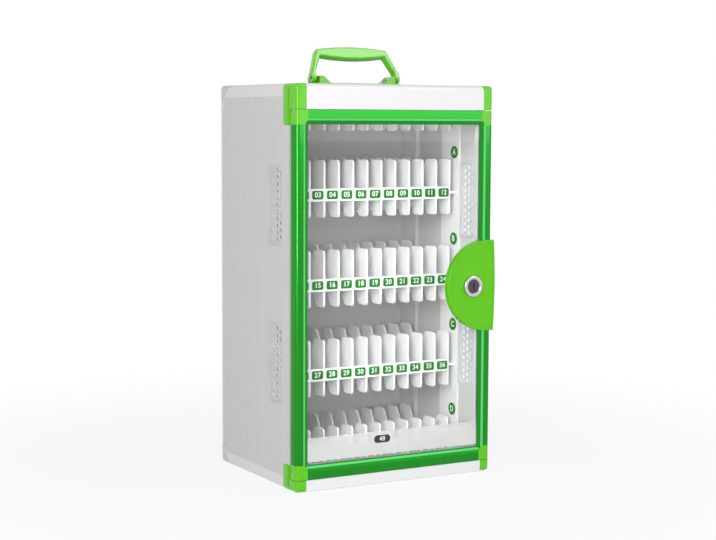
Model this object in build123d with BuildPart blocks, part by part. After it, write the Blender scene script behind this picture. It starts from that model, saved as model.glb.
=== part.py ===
"""Cell phone locker box: a glazed, lockable cabinet with numbered slots for phones.

Millimetres.  +X is to the right of someone facing the door, +Y runs to the back and +Z up.
The origin is the centre of the case's underside.  The door is closed, the lock is open and
the carrying handle leans back on its stop.
"""
import os
from math import cos, radians, sin

from build123d import *

os.makedirs("parts", exist_ok=True)

# ---- Case -------------------------------------------------------------------------------
width = 265.0                # over the side panels
depth = 205.0                # door front to back panel
height = 467.0               # floor to top panel
panel_thickness = 3.0        # side, top and base panels
corner_radius = 5.0          # rounded long edges of the case
top_band = 29.0              # height of the front rail over the door
bottom_band = 13.7           # height of the front rail under the door
rail_wall = 1.8              # wall of the hollow front rails
rail_radius = 7.6            # rounded front edge of the top front rail
groove_pitch = 9.5           # fine upright grooves in the side panels
groove_width = 0.5
groove_depth = 0.2

# Edge profiles between the side panels and the top and base panels
edge_band = 14.5             # visible height on the side
edge_cover = 15.0            # visible width on the top
lap_thickness = 1.5          # inner flanges that the panels rest on
side_lap = 6.5               # how far the upright flange runs past the band
top_lap = 7.0                # how far the level flange runs past the cover

# Back of the case
back_panel_thickness = 3.0
back_panel_inset = 0.5
post_width = 8.0             # rear post, across
post_depth = 41.0            # rear post, front to back
post_lap = 7.5               # how much of the side the post covers
post_wall = 1.4
rear_rail_depth = 15.0

# Corner caps, front and rear
front_cap_width = 13.4
front_edge_radius = 4.5      # outer edges of the front caps and the door's stiles
top_leg = 47.0               # leg of the cap down the side of the case
bottom_leg = 30.0
leg_seat = 2.0               # depth of the leg's seat in the side
leg_proud = 0.5
leg_groove_end = 20.5        # from the door's front, where the leg's raised rib starts
leg_rib_end = 31.0           # and where it ends
leg_floor = 1.0              # thickness of the sunk strip in front of the rib
leg_groove_start = 6.0       # from the case's end, where that strip starts
leg_radius = 4.0
rear_cap_reach = 35.0        # along the side, from the back
rear_cap_height = 22.0
rear_cap_width = 13.0        # across the back
cap_gap = 0.2                # joint between a front cap and its neighbours
rear_cap_gap = 0.6           # and round a rear cap
overshoot = 1.0              # how far a cut runs past the face that it opens
nearby = 0.1                 # tolerance for edges picked by their place

# ---- Door -------------------------------------------------------------------------------
door_thickness = 16.0
door_gap = 0.6               # over and under the door
case_gap = 0.9               # behind the door
frame_width = 16.5           # visible width of the door's frame
frame_face = 9.4             # flat part of that width
frame_ridge = 12.4           # where the shallow slope turns into the steep one
ridge_drop = 1.2
frame_lip = 0.8              # land at the inner edge of the frame
lip_drop = 3.2
frame_wall = 1.8
glazing_thickness = 3.0
glazing_bite = 5.5           # how far the clear panel enters the frame
bead_depth = 7.6             # glazing bead behind the clear panel, front to back
mitre_gap = 0.1              # joint between two beads at a corner
glazing_play = 0.1           # play round the clear panel
door_cap_width = 15.4
door_cap_height = 17.0
door_cap_side = 10.4         # upright side of the cap before its slanted corner
door_cap_foot = 11.2         # level side of the cap before its slanted corner

# Hinge pins, in the left corner caps
pivot_inset = 4.0            # from the outer face and from the back face of the door
hinge_pin_radius = 1.75
hinge_pin_in_door = 10.0
hinge_pin_in_case = 8.0
running_play = 0.03          # radial play round pins and shafts

# ---- Lock -------------------------------------------------------------------------------
lock_height = 228.0
lock_inset = 29.5            # lock axis from the case's right side
plate_radius = 54.7
plate_inset = 9.2            # centre of that arc from the case's right side
plate_thickness = 4.0
plate_wall = 2.5
plate_overhang = 1.5         # past the door's edge, at the plate's corners
plate_bow = 1.7              # and as much again at mid height
plate_wrap = 10.0            # how far back the plate's lip runs along the door's edge
rim_width = 3.0
rim_height = 0.5
rim_radius = 1.0
boss_radius = 12.2
bezel_radius = 12.75
bezel_height = 4.5
bezel_edge = 1.4
bezel_dish = 1.1             # cone round the plug's face
barrel_radius = 9.4
barrel_tail = 2.4            # barrel past the door's back
thread_play = 0.1
nut_across_flats = 23.0
nut_thickness = 4.0
plug_radius = 7.9
plug_sunk = 0.6              # plug face below the bezel's face
plug_play = 0.05
keyway_width = 1.6
keyway_length = 8.0
keyway_depth = 14.0
cam_square = 7.0
cam_thickness = 2.0
cam_length = 21.0
cam_width = 13.0
cam_clear = 0.8              # cam behind the barrel's tail
cam_tip_radius = 3.0
cam_screw_radius = 1.6
cam_screw_length = 10.0
cam_screw_head_radius = 4.2
cam_screw_head_height = 2.2
screw_edge = 0.6             # bevel of the screw heads
driver_slot = 1.0
driver_depth = 1.2
driver_reach = 2.9            # half length of the cross slot

# ---- Inside of the case -----------------------------------------------------------------
jamb_reach = 10.0            # lip behind the door's edge
jamb_thickness = 2.0
jamb_depth = 10.6
inner_post_front = 67.0      # from the door's front
inner_post_back = 107.0
inner_post_thickness = 2.0

vent_centre = 53.5           # from the door's front
vent_top = 139.0             # centre of the upper vents, below the top of the case
vent_bottom = 144.4          # centre of the lower vents, over the floor
vent_width = 36.0
vent_length = 92.0
vent_radius = 8.0
grille_sunk = 0.6
grille_plate = 1.2
grille_collar = 2.0          # width of the collar on the panel's outer face
grille_collar_height = 0.4
grille_play = 0.15
grille_proud = 1.2           # grille past the panel's inner face
grille_neck_play = 0.5       # between that part and the inner post
grille_rim = 0.8             # rim round the sunk plate
grille_mouth = (37.0, 61.5)  # inner opening, from the door's front
grille_mouth_length = 89.0
grille_mouth_radius = 6.0
grille_hole_radius = 2.5
grille_row_pitch = 8.1
grille_rows = 11
grille_columns = 4
grille_column_pitch = 8.5

slots = 12                   # phones in a row
slot_margin = 12.584         # from a side panel to the middle of the nearest divider
rows = 4
bottom_level = 15.0          # centre of the lowest number strip and its board
top_level = 22.24            # centre of the highest board, below the top of the case
board_thickness = 3.0
strip_front = 70.0           # from the door's front
strip_thickness = 1.5
strip_height = 15.0
comb_back = 19.0             # rear edge of the rear dividers, from the back of the case
board_back = 6.0
divider_thickness = 2.5
comb_reach = 30.0            # depth of a divider plate
comb_top = 41.0              # over the board's centre
comb_shoulder = 28.0         # where the plate's rounded top starts
comb_top_reach = 22.0
comb_drop = 27.0             # below the board's centre
top_comb_drop = 31.5         # and below the top board, which has no number strip
comb_tip_reach = 20.0
comb_waist = 6.0             # where the hanging tip starts to narrow
comb_waist_reach = 28.0
comb_radii = (3.5, 7.0, 6.0, 7.0, 4.0)   # tip front, tip back, shoulder, top back, top front
comb_slot_play = 0.1
post_play = 0.3              # between a board and the rear posts

# ---- Carrying handle --------------------------------------------------------------------
handle_lean = 22.0           # degrees behind upright, at rest
handle_rise = 31.5           # pivot to the middle of the grip
grip_half = 48.5             # outer half width at the grip
grip_mid = 15.4              # grip thickness at its middle
grip_end = 8.2              # and at its ends
leg_foot_half = 60.0         # outer half width at the feet
leg_width = 5.0               # at the feet
leg_top_width = 4.2          # at the grip, between its rounded corners
leg_depth = 11.0
bail_outer_radius = 2.5
bail_inner_radius = 3.0
bail_edge_radius = 2.0
base_half = 60.3
base_depth = 17.0
base_thickness = 3.0
base_radius = 2.0
lug_outer = 52.0
lug_top_inner = 47.0
lug_foot_inner = 37.4
lug_height = 11.5
lug_radii = (1.0, 3.0, 8.0)  # outer top corner, inner top corner, foot of the slope
foot_play = 0.4              # between the bail and the base
heel_height = 9.6            # stop behind each leg
handle_pin_radius = 2.0
handle_pin_in_lug = 5.0
handle_pin_in_leg = 4.8
pin_end_play = 0.2
base_screw_place = 41.0
base_screw_radius = 1.9
base_screw_grip = 9.0
base_screw_head_radius = 4.0
base_screw_head_height = 2.4

# ---- Worked out from the sizes above -----------------------------------------------------
half = width / 2
front = -depth / 2
rear = depth / 2
door_back = front + door_thickness
case_front = door_back + case_gap
door_bottom = bottom_band + door_gap
door_top = height - top_band - door_gap
side_end = rear - post_lap                     # rear edge of the side panels
panel_end = rear - rear_rail_depth             # rear edge of the top and base panels
inner_low = edge_band + side_lap               # upright inner parts stand between these
inner_high = height - inner_low
back_panel_face = rear - back_panel_inset - back_panel_thickness
glazing_front = front + lip_drop + frame_lip
glazing_back = glazing_front + glazing_thickness
glazing_inset = frame_width - glazing_bite
pivot_x = -half + pivot_inset
pivot_y = door_back - pivot_inset
lock_x = half - lock_inset
lock_face = front - plate_thickness
barrel_end = door_back + barrel_tail
comb_front = front + strip_front + strip_thickness
comb_rear = rear - comb_back
slot_pitch = 2 * (half - panel_thickness - slot_margin) / slots
first_divider = -slots * slot_pitch / 2
divider_places = [first_divider + slot_pitch * i for i in range(slots + 1)]
row_pitch = (height - top_level - bottom_level) / rows
levels = [bottom_level + row_pitch * i for i in range(rows, -1, -1)]     # top board first
vent_places = [(front + vent_centre, level) for level in (height - vent_top, vent_bottom)]
handle_pivot = height + base_thickness + foot_play + leg_depth / 2


def plane_x(x):
    """Upright plane across the case, seen from the right: local axes are Y and Z."""
    return Plane.YZ.offset(x)


def plane_y(y):
    """Upright plane facing the front: local axes are X and Z, and a negative amount goes back."""
    return Plane.XZ.offset(-y)


def plane_z(z):
    """Level plane: local axes are X and Y."""
    return Plane.XY.offset(z)


def block(x, y, z, mode=Mode.ADD):
    """A box between two limits along each axis."""
    size = [abs(b - a) for a, b in (x, y, z)]
    with Locations(tuple((a + b) / 2 for a, b in (x, y, z))):
        Box(*size, mode=mode)


def rod(plane, place, radius, length, mode=Mode.ADD):
    """A round bar that starts on a plane and runs along its normal."""
    with Locations(plane * Pos(*place)):
        Cylinder(radius, length, align=(Align.CENTER, Align.CENTER, Align.MIN), mode=mode)


def rounded_outline(corners):
    """A face from corner points, each with its own radius (0 keeps it sharp)."""
    with BuildSketch() as outline:
        Polygon(*[(a, b) for a, b, radius in corners], align=None)
        for a, b, radius in corners:
            if radius:
                fillet(outline.vertices().sort_by_distance((a, b, 0))[0], radius)
    return outline.sketch


def save(piece, name):
    """Label a finished piece and write its file."""
    piece.part.label = name
    export_step(piece.part, f"parts/{name}.step")


# The top and the bottom of the case are alike, so many pieces are made once for each end.
ends = {"top": (height, -1), "bottom": (0.0, 1)}


def inward(end, distance):
    """Height of a point at a distance from the top or the bottom of the case."""
    level, direction = ends[end]
    return level + direction * distance


def rear_cap_side(end, gap=0.0):
    """Side view of a rear corner cap: a corner block less a round bite."""
    centre = (rear - rear_cap_reach, inward(end, rear_cap_height))
    with BuildSketch(plane_x(half - rear_cap_width - gap)) as outline:
        Polygon(
            (rear - rear_cap_reach, inward(end, -overshoot)),
            (rear + overshoot, inward(end, -overshoot)),
            (rear + overshoot, inward(end, rear_cap_height + gap)),
            (rear - rear_cap_reach, inward(end, rear_cap_height + gap)),
            align=None,
        )
        with Locations(centre):
            Circle(rear_cap_height - gap, mode=Mode.SUBTRACT)
    return outline.sketch


def leg_side(end, length, gap=0.0):
    """Side view of a front cap's leg, from the case's front to the end of its rib."""
    leg_end = inward(end, length + gap)
    with BuildSketch(plane_x(half - leg_seat)) as outline:
        Polygon(
            (case_front, inward(end, -overshoot)),
            (front + leg_rib_end + gap, inward(end, -overshoot)),
            (front + leg_rib_end + gap, leg_end),
            (case_front, leg_end),
            align=None,
        )
        corner = outline.vertices().sort_by_distance((front + leg_rib_end, leg_end, 0))[0]
        fillet(corner, leg_radius)
    return outline.sketch


def leg_shoulder(end):
    """Front view of what lies outside the leg where it rounds the case's long edge."""
    centre = (half - corner_radius, inward(end, corner_radius))
    with BuildSketch(plane_y(case_front)) as outline:
        Polygon(
            centre,
            (half + corner_radius, centre[1]),
            (half + corner_radius, inward(end, -corner_radius)),
            (centre[0], inward(end, -corner_radius)),
            align=None,
        )
        with Locations(centre):
            Circle(corner_radius + leg_proud, mode=Mode.SUBTRACT)
    return outline.sketch


def outer_edges(piece, end, at_face):
    """Edges of a right-hand corner piece that lie on two of its three outer faces."""
    def faces_met(edge):
        place = edge.center()
        return sum((place.X > half - nearby, at_face(place), abs(place.Z - inward(end, 0)) < nearby))
    return piece.edges().filter_by(lambda edge: faces_met(edge) == 2)


# ---- Side panels: ribbed sheet with two vent openings ------------------------------------
grooves = int((side_end - case_front) / groove_pitch)
groove_places = [side_end - groove_pitch * (i + 0.5) for i in range(grooves)]
with BuildPart() as right_side_panel:
    block((half - panel_thickness, half), (case_front, side_end), (edge_band, height - edge_band))
    with BuildSketch(plane_z(edge_band)):
        with Locations(*[(half, place) for place in groove_places]):
            Rectangle(2 * groove_depth, groove_width)
    extrude(amount=height - 2 * edge_band, mode=Mode.SUBTRACT)
    with BuildSketch(plane_x(half - panel_thickness)):
        with Locations(*vent_places):
            RectangleRounded(vent_width, vent_length, vent_radius)
    extrude(amount=panel_thickness, mode=Mode.SUBTRACT)
    for end, length in (("top", top_leg), ("bottom", bottom_leg)):
        extrude(leg_side(end, length, cap_gap), amount=leg_seat, mode=Mode.SUBTRACT)
        extrude(rear_cap_side(end, rear_cap_gap), amount=rear_cap_width + rear_cap_gap, mode=Mode.SUBTRACT)
with BuildPart() as left_side_panel:
    mirror(right_side_panel.part, about=Plane.YZ)
save(right_side_panel, "right_side_panel")
save(left_side_panel, "left_side_panel")

# ---- Edge profiles: two panels rest on each one's inner flanges ---------------------------
for end, length in (("top", top_leg), ("bottom", bottom_leg)):
    with BuildPart() as right_edge:
        with BuildSketch(plane_y(case_front)) as section:
            Polygon(
                (half, inward(end, edge_band)),
                (half, inward(end, 0)),
                (half - edge_cover, inward(end, 0)),
                (half - edge_cover, inward(end, panel_thickness)),
                (half - edge_cover - top_lap, inward(end, panel_thickness)),
                (half - edge_cover - top_lap, inward(end, panel_thickness + lap_thickness)),
                (half - panel_thickness - lap_thickness, inward(end, panel_thickness + lap_thickness)),
                (half - panel_thickness - lap_thickness, inward(end, inner_low)),
                (half - panel_thickness, inward(end, inner_low)),
                (half - panel_thickness, inward(end, edge_band)),
                align=None,
            )
            outer_corner = section.vertices().sort_by_distance((half, inward(end, 0), 0))[0]
            fillet(outer_corner, corner_radius)
        extrude(amount=case_front - panel_end)
        extrude(leg_side(end, length, cap_gap), amount=leg_seat + overshoot, mode=Mode.SUBTRACT)
        extrude(rear_cap_side(end, rear_cap_gap), amount=rear_cap_width + overshoot, mode=Mode.SUBTRACT)
    with BuildPart() as left_edge:
        mirror(right_edge.part, about=Plane.YZ)
    save(right_edge, f"right_{end}_edge")
    save(left_edge, f"left_{end}_edge")

# ---- Top and base panels ------------------------------------------------------------------
panel_half = half - edge_cover
with BuildPart() as top_panel:
    block((-panel_half, panel_half), (case_front, panel_end), (height - panel_thickness, height))
    for x in (-base_screw_place, base_screw_place):
        rod(plane_z(height - panel_thickness), (x, 0), base_screw_radius + cap_gap,
            panel_thickness, mode=Mode.SUBTRACT)
save(top_panel, "top_panel")

with BuildPart() as base_panel:
    block((-panel_half, panel_half), (case_front, panel_end), (0, panel_thickness))
save(base_panel, "base_panel")

# ---- Rear posts, rear rails and back panel -------------------------------------------------
post_bottom = rear_cap_height + rear_cap_gap
with BuildPart() as right_rear_post:
    with BuildSketch(plane_z(post_bottom)) as section:
        Polygon(
            (half, side_end),
            (half, rear),
            (half - post_width, rear),
            (half - post_width, rear - post_depth),
            (half - panel_thickness, rear - post_depth),
            (half - panel_thickness, side_end),
            align=None,
        )
        fillet(section.vertices().sort_by_distance((half, rear, 0))[0], corner_radius)
        with Locations((half - (post_width + panel_thickness) / 2, (rear - post_depth + side_end) / 2)):
            Rectangle(
                post_width - panel_thickness - 2 * post_wall,
                post_depth - post_lap - 2 * post_wall,
                mode=Mode.SUBTRACT,
            )
    extrude(amount=height - 2 * post_bottom)
with BuildPart() as left_rear_post:
    mirror(right_rear_post.part, about=Plane.YZ)
save(right_rear_post, "right_rear_post")
save(left_rear_post, "left_rear_post")

rear_rail_half = half - rear_cap_width - rear_cap_gap
with BuildPart() as rear_rails:
    for end in ends:
        with BuildSketch(plane_x(-rear_rail_half)) as section:
            Polygon(
                (rear, inward(end, edge_band)),
                (rear, inward(end, 0)),
                (panel_end, inward(end, 0)),
                (panel_end, inward(end, panel_thickness)),
                (rear - panel_thickness, inward(end, panel_thickness)),
                (rear - panel_thickness, inward(end, edge_band)),
                align=None,
            )
            fillet(section.vertices().sort_by_distance((rear, inward(end, 0), 0))[0], corner_radius)
        extrude(amount=2 * rear_rail_half)
save(rear_rails, "rear_rails")

with BuildPart() as back_panel:
    block(
        (post_width - half, half - post_width),
        (back_panel_face, back_panel_face + back_panel_thickness),
        (edge_band, height - edge_band),
    )
    for end in ends:
        notch = extrude(rear_cap_side(end, rear_cap_gap), amount=rear_cap_width, mode=Mode.SUBTRACT)
        mirror(notch, about=Plane.YZ, mode=Mode.SUBTRACT)
save(back_panel, "back_panel")

# ---- Rear corner caps: hollow corners with a curved front edge ------------------------------
right_rear_caps = []
for end in ends:
    with BuildPart() as rear_cap:
        block((half - rear_cap_width, half), (rear - rear_cap_reach, rear),
              (inward(end, 0), inward(end, rear_cap_height)))
        fillet(outer_edges(rear_cap, end, lambda place: place.Y > rear - nearby), corner_radius)
        block((half - rear_cap_width - overshoot, half - panel_thickness),
              (rear - rear_cap_reach - overshoot, rear - panel_thickness),
              (inward(end, panel_thickness), inward(end, rear_cap_height + overshoot)),
              mode=Mode.SUBTRACT)
        extrude(rear_cap_side(end), amount=rear_cap_width + overshoot, mode=Mode.INTERSECT)
    right_rear_caps.append(rear_cap.part)

with BuildPart() as rear_corner_caps:
    add(right_rear_caps)
    mirror(right_rear_caps, about=Plane.YZ)
save(rear_corner_caps, "rear_corner_caps")

# ---- Front rails over and under the door ----------------------------------------------------
rail_half = half - front_cap_width
for end, band, radius in (("top", top_band, rail_radius), ("bottom", bottom_band, rail_wall)):
    with BuildPart() as front_rail:
        with BuildSketch(plane_x(-rail_half)) as section:
            Polygon(
                (front, inward(end, 0)),
                (case_front, inward(end, 0)),
                (case_front, inward(end, band)),
                (front, inward(end, band)),
                align=None,
            )
            fillet(section.vertices().sort_by_distance((front, inward(end, 0), 0))[0], radius)
            offset(amount=-rail_wall, mode=Mode.SUBTRACT)
        extrude(amount=2 * rail_half)
    save(front_rail, f"{end}_front_rail")

# ---- Front corner caps of the case, each with a leg on the side -----------------------------
for end, band, length in (("top", top_band, top_leg), ("bottom", bottom_band, bottom_leg)):
    with BuildPart() as right_cap:
        block((rail_half, half), (front, case_front), (inward(end, 0), inward(end, band)))
        fillet(outer_edges(right_cap, end, lambda place: place.Y < front + nearby), front_edge_radius)
        extrude(leg_side(end, length), amount=leg_seat + leg_proud)
        extrude(leg_shoulder(end), amount=-leg_rib_end, mode=Mode.SUBTRACT)
        block((half - leg_seat + leg_floor, half + leg_proud),
              (case_front, front + leg_groove_end),
              (inward(end, leg_groove_start), inward(end, length + overshoot)), mode=Mode.SUBTRACT)
    with BuildPart() as left_cap:
        mirror(right_cap.part, about=Plane.YZ)
        rod(plane_z(min(inward(end, band), inward(end, band - hinge_pin_in_case))),
            (pivot_x, pivot_y), hinge_pin_radius + running_play, hinge_pin_in_case,
            mode=Mode.SUBTRACT)
    save(right_cap, f"case_cap_{end}_right")
    save(left_cap, f"case_cap_{end}_left")

with BuildPart() as hinge_pins:
    for end, band in (("top", top_band), ("bottom", bottom_band)):
        tips = (inward(end, band - hinge_pin_in_case), inward(end, band + door_gap + hinge_pin_in_door))
        rod(plane_z(min(tips)), (pivot_x, pivot_y), hinge_pin_radius, abs(tips[1] - tips[0]))
save(hinge_pins, "hinge_pins")

# ---- Door frame: two stiles and two rails of one section, mitred, with corner caps -----------
frame_section = (
    (0, 0),
    (frame_face, 0),
    (frame_ridge, ridge_drop),
    (frame_width, lip_drop),
    (frame_width, lip_drop + frame_lip),
    (glazing_inset, lip_drop + frame_lip),
    (glazing_inset, door_thickness),
    (0, door_thickness),
)
chamber = (
    (frame_wall, frame_wall),
    (glazing_inset - frame_wall, frame_wall),
    (glazing_inset - frame_wall, door_thickness - frame_wall),
    (frame_wall, door_thickness - frame_wall),
)


def door_cap_front(side, end, gap=0.0):
    """Front view of a door cap: a corner block with a slanted inner corner."""
    corner_x = side * half
    corner_z, up = (door_top, -1) if end == "top" else (door_bottom, 1)
    with BuildSketch(plane_y(front)) as outline:
        Polygon(*[
            (corner_x - side * across, corner_z + up * along)
            for across, along in (
                (0, 0),
                (door_cap_width + gap, 0),
                (door_cap_width + gap, door_cap_side),
                (door_cap_foot, door_cap_height + gap),
                (0, door_cap_height + gap),
            )
        ], align=None)
    return outline.sketch


with BuildPart() as lock_stile:
    with BuildSketch(plane_z(door_bottom)) as section:
        Polygon(*[(half - across, front + back) for across, back in frame_section], align=None)
        fillet(section.vertices().sort_by_distance((half, front, 0))[0], front_edge_radius)
        fillet(section.vertices().sort_by_distance((half, door_back, 0))[0], pivot_inset)
        Polygon(*[(half - across, front + back) for across, back in chamber], align=None,
                mode=Mode.SUBTRACT)
    extrude(amount=door_top - door_bottom)
    with BuildSketch(plane_y(front)):
        Polygon(
            (half, door_bottom),
            (half, door_top),
            (half - frame_width, door_top - frame_width),
            (half - frame_width, door_bottom + frame_width),
            align=None,
        )
    extrude(amount=-door_thickness, mode=Mode.INTERSECT)
    for end in ends:
        extrude(door_cap_front(1, end), amount=-door_thickness, mode=Mode.SUBTRACT)
with BuildPart() as hinge_stile:
    mirror(lock_stile.part, about=Plane.YZ)
save(lock_stile, "lock_stile")
save(hinge_stile, "hinge_stile")

for end, edge, up in (("top", door_top, -1), ("bottom", door_bottom, 1)):
    with BuildPart() as door_rail:
        with BuildSketch(plane_x(-half)):
            Polygon(*[(front + back, edge + up * across) for across, back in frame_section], align=None)
            Polygon(*[(front + back, edge + up * across) for across, back in chamber], align=None,
                    mode=Mode.SUBTRACT)
        extrude(amount=width)
        with BuildSketch(plane_y(front)):
            Polygon(
                (-half, edge),
                (half, edge),
                (half - frame_width, edge + up * frame_width),
                (frame_width - half, edge + up * frame_width),
                align=None,
            )
        extrude(amount=-door_thickness, mode=Mode.INTERSECT)
        for side in (-1, 1):
            extrude(door_cap_front(side, end), amount=-door_thickness, mode=Mode.SUBTRACT)
    save(door_rail, f"door_{end}_rail")

glazing_half = half - glazing_inset - glazing_play
glazing_low = door_bottom + glazing_inset + glazing_play
glazing_high = door_top - glazing_inset - glazing_play
for side, side_name in ((-1, "left"), (1, "right")):
    for end in ends:
        with BuildPart() as door_cap:
            extrude(door_cap_front(side, end), amount=-door_thickness)
            outer = door_cap.edges().filter_by(Axis.Z).filter_by(
                lambda edge: abs(edge.center().X - side * half) < nearby
            )
            fillet(outer.sort_by(Axis.Y)[0], front_edge_radius)
            outer = door_cap.edges().filter_by(Axis.Z).filter_by(
                lambda edge: abs(edge.center().X - side * half) < nearby
            )
            fillet(outer.sort_by(Axis.Y)[-1], pivot_inset)
            block((-half + glazing_inset, half - glazing_inset),
                  (glazing_front, door_back),
                  (door_bottom + glazing_inset, door_top - glazing_inset), mode=Mode.SUBTRACT)
            if side < 0:
                edge, up = (door_top, -1) if end == "top" else (door_bottom, 1)
                deep = edge + up * (hinge_pin_in_door + pin_end_play)
                rod(plane_z(min(edge, deep)), (pivot_x, pivot_y),
                    hinge_pin_radius + running_play, abs(deep - edge), mode=Mode.SUBTRACT)
        save(door_cap, f"door_cap_{end}_{side_name}")

with BuildPart() as door_panel:
    block((-glazing_half, glazing_half), (glazing_front, glazing_back), (glazing_low, glazing_high))
    rod(plane_y(glazing_back), (lock_x, lock_height), barrel_radius + thread_play,
        glazing_thickness, mode=Mode.SUBTRACT)
save(door_panel, "door_panel")

# ---- Glazing beads: four mitred strips that hold the clear panel from behind --------------------
bead_outer = (half - glazing_inset, door_bottom + glazing_inset, door_top - glazing_inset)
bead_inner = (half - frame_width, door_bottom + frame_width, door_top - frame_width)
with BuildPart() as glazing_beads:
    for side in (-1, 1):
        with BuildSketch(plane_y(glazing_back)):
            Polygon(
                (side * bead_outer[0], bead_outer[1]),
                (side * bead_outer[0], bead_outer[2]),
                (side * bead_inner[0], bead_inner[2]),
                (side * bead_inner[0], bead_inner[1]),
                align=None,
            )
        extrude(amount=-bead_depth)
        level = 1 if side < 0 else 2
        with BuildSketch(plane_y(glazing_back)):
            Polygon(
                (mitre_gap - bead_outer[0], bead_outer[level]),
                (bead_outer[0] - mitre_gap, bead_outer[level]),
                (bead_inner[0] - mitre_gap, bead_inner[level]),
                (mitre_gap - bead_inner[0], bead_inner[level]),
                align=None,
            )
        extrude(amount=-bead_depth)
save(glazing_beads, "glazing_beads")

# ---- Lock: cover plate, barrel, nut, plug, cam and the cam's screw ---------------------------
plate_x = half - plate_inset
plate_edge = half + plate_overhang
with BuildSketch(Plane.XY) as plate_front:
    with BuildLine():
        round_side = ThreePointArc(
            (plate_x, lock_height + plate_radius),
            (plate_x - plate_radius, lock_height),
            (plate_x, lock_height - plate_radius),
        )
        foot = Line(round_side @ 1, (plate_edge, lock_height - plate_radius))
        bow = ThreePointArc(
            foot @ 1,
            (plate_edge + plate_bow, lock_height),
            (plate_edge, lock_height + plate_radius),
        )
        Line(bow @ 1, round_side @ 0)
    make_face()
with BuildPart() as lock_plate:
    with BuildSketch(plane_y(lock_face)):
        add(plate_front.sketch)
    extrude(amount=-(plate_thickness + plate_wrap))
    block((0, half), (glazing_front, front + plate_wrap), (0, height), mode=Mode.SUBTRACT)
    with BuildSketch(plane_y(lock_face + plate_wall)):
        add(plate_front.sketch)
        offset(amount=-plate_wall, mode=Mode.REPLACE)
    extrude(amount=-(plate_thickness + plate_wrap), mode=Mode.SUBTRACT)
    with BuildSketch(plane_z(lock_height - plate_radius)):
        Polygon(
            (half, front),
            (half - frame_face, front),
            (half - frame_ridge, front + ridge_drop),
            (half - frame_width, front + lip_drop),
            (half - frame_width, door_back),
            (half, door_back),
            align=None,
        )
    extrude(amount=2 * plate_radius, mode=Mode.SUBTRACT)
    rod(plane_y(glazing_front), (lock_x, lock_height), boss_radius,
        glazing_front - lock_face - rim_height)
    with BuildSketch(plane_y(lock_face + rim_height)):
        add(plate_front.sketch)
        offset(amount=-rim_width, mode=Mode.REPLACE)
    extrude(amount=rim_height, mode=Mode.SUBTRACT)
    rod(plane_y(glazing_front), (lock_x, lock_height), barrel_radius + thread_play,
        glazing_front - lock_face, mode=Mode.SUBTRACT)
    rim = lock_plate.faces().filter_by(Axis.Y).sort_by(Axis.Y)[0]
    fillet(rim.outer_wire().edges(), rim_radius)
save(lock_plate, "lock_plate")

bezel_front = lock_face + rim_height - bezel_height
plug_front = bezel_front + plug_sunk
cam_front = barrel_end + cam_clear
cam_back = cam_front + cam_thickness
lock_place = (lock_x, lock_height)
with BuildPart() as lock_barrel:
    rod(plane_y(lock_face + rim_height), lock_place, bezel_radius, bezel_height)
    rod(plane_y(barrel_end), lock_place, barrel_radius, barrel_end - bezel_front)
    face = lock_barrel.faces().filter_by(Axis.Y).sort_by(Axis.Y)[0]
    fillet(face.edges(), bezel_edge)
    rod(plane_y(barrel_end), lock_place, plug_radius + plug_play, barrel_end - bezel_front,
        mode=Mode.SUBTRACT)
    face = lock_barrel.faces().filter_by(Axis.Y).sort_by(Axis.Y)[0]
    chamfer(face.edges().sort_by(SortBy.RADIUS)[0], bezel_dish)
save(lock_barrel, "lock_barrel")

with BuildPart() as lock_nut:
    with BuildSketch(plane_y(glazing_back)):
        with Locations(lock_place):
            RegularPolygon(nut_across_flats / 2, 6, major_radius=False, rotation=30)
            Circle(barrel_radius + plug_play, mode=Mode.SUBTRACT)
    extrude(amount=-nut_thickness)
save(lock_nut, "lock_nut")

with BuildPart() as lock_plug:
    rod(plane_y(cam_front), lock_place, plug_radius, cam_front - plug_front)
    with BuildSketch(plane_y(cam_front)):
        with Locations(lock_place):
            Rectangle(cam_square, cam_square)
    extrude(amount=-cam_thickness)
    with BuildSketch(plane_y(plug_front)):
        with Locations(lock_place):
            Rectangle(keyway_width, keyway_length)
    extrude(amount=-keyway_depth, mode=Mode.SUBTRACT)
    rod(plane_y(cam_back), lock_place, cam_screw_radius + plug_play,
        cam_screw_length + plug_play, mode=Mode.SUBTRACT)
save(lock_plug, "lock_plug")

with BuildPart() as lock_cam:
    with BuildSketch(plane_y(cam_front)):
        with Locations(lock_place):
            Circle(cam_width / 2)
        Polygon(
            (lock_x - cam_width / 2, lock_height),
            (lock_x - cam_width / 2, lock_height - cam_length),
            (lock_x + cam_width / 2, lock_height - cam_length),
            (lock_x + cam_width / 2, lock_height),
            align=None,
        )
        with Locations(lock_place):
            Rectangle(cam_square + thread_play, cam_square + thread_play, mode=Mode.SUBTRACT)
    extrude(amount=-cam_thickness)
    tip = lock_cam.edges().filter_by(Axis.Y).group_by(Axis.Z)[0]
    fillet(tip, cam_tip_radius)
save(lock_cam, "lock_cam")

with BuildPart() as cam_screw:
    rod(plane_y(cam_back + cam_screw_head_height), lock_place, cam_screw_head_radius,
        cam_screw_head_height)
    rod(plane_y(cam_back), lock_place, cam_screw_radius, cam_screw_length)
    back_face = cam_screw.faces().filter_by(Axis.Y).sort_by(Axis.Y)[-1]
    chamfer(back_face.edges(), screw_edge)
    with BuildSketch(plane_y(cam_back + cam_screw_head_height)):
        with Locations(lock_place):
            Rectangle(2 * cam_screw_head_radius, driver_slot)
            Rectangle(driver_slot, 2 * cam_screw_head_radius)
        with Locations(lock_place):
            Circle(driver_reach, mode=Mode.INTERSECT)
    extrude(amount=driver_depth, mode=Mode.SUBTRACT)
save(cam_screw, "cam_screw")

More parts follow.
